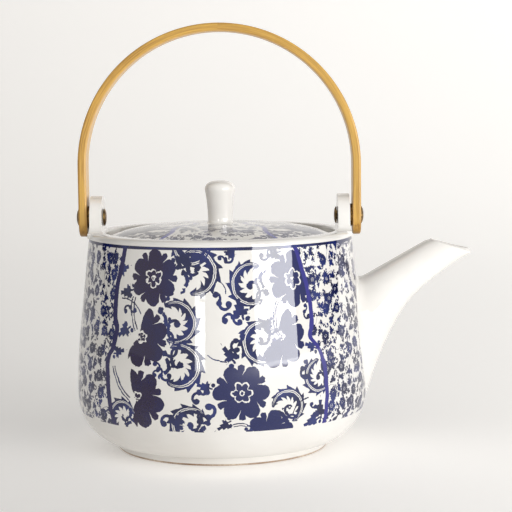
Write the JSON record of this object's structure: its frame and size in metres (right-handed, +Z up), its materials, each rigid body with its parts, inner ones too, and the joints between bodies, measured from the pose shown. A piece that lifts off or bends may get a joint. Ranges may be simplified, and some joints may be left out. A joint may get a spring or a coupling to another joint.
{
  "type": "teapot",
  "caption": "Round blue-and-white porcelain teapot with a luted spout, a domed lid with a knob, and a bent bamboo bail handle riveted to lugs on the rim.",
  "frame": {"origin": "centre of the foot ring on the plane it rests on", "axes": "+Z up, +X along the spout, handle's pivot along X"},
  "size_m": [0.1974, 0.1452, 0.2113],
  "materials": {
    "decorated_porcelain": "gloss glaze over blue transfer print",
    "white_porcelain": "gloss glaze",
    "bamboo": "satin lacquer",
    "dark_brass": "antiqued"
  },
  "bodies": {
    "pot": {"pot_body": "decorated_porcelain", "spout": "white_porcelain", "lug_left": "white_porcelain", "lug_right": "white_porcelain"},
    "handle": {"bamboo_handle": "bamboo", "rivet_left": "dark_brass", "rivet_right": "dark_brass", "rivet_cap_left": "dark_brass", "rivet_cap_right": "dark_brass", "washer_left": "dark_brass", "washer_right": "dark_brass"},
    "lid_and_knob": {"lid": "decorated_porcelain", "lid_knob": "white_porcelain"}
  },
  "joints": [
    {"name": "handle_swing", "type": "hinge", "parent": "pot", "child": "handle", "pos_m": [0, 0, 0.1155], "axis": [1, 0, 0], "range_deg": [-123, 123]},
    {"name": "lid_lift", "type": "slide", "parent": "pot", "child": "lid_and_knob", "axis": [0, 0, 1], "range_m": [0, 0.055]}
  ]
}
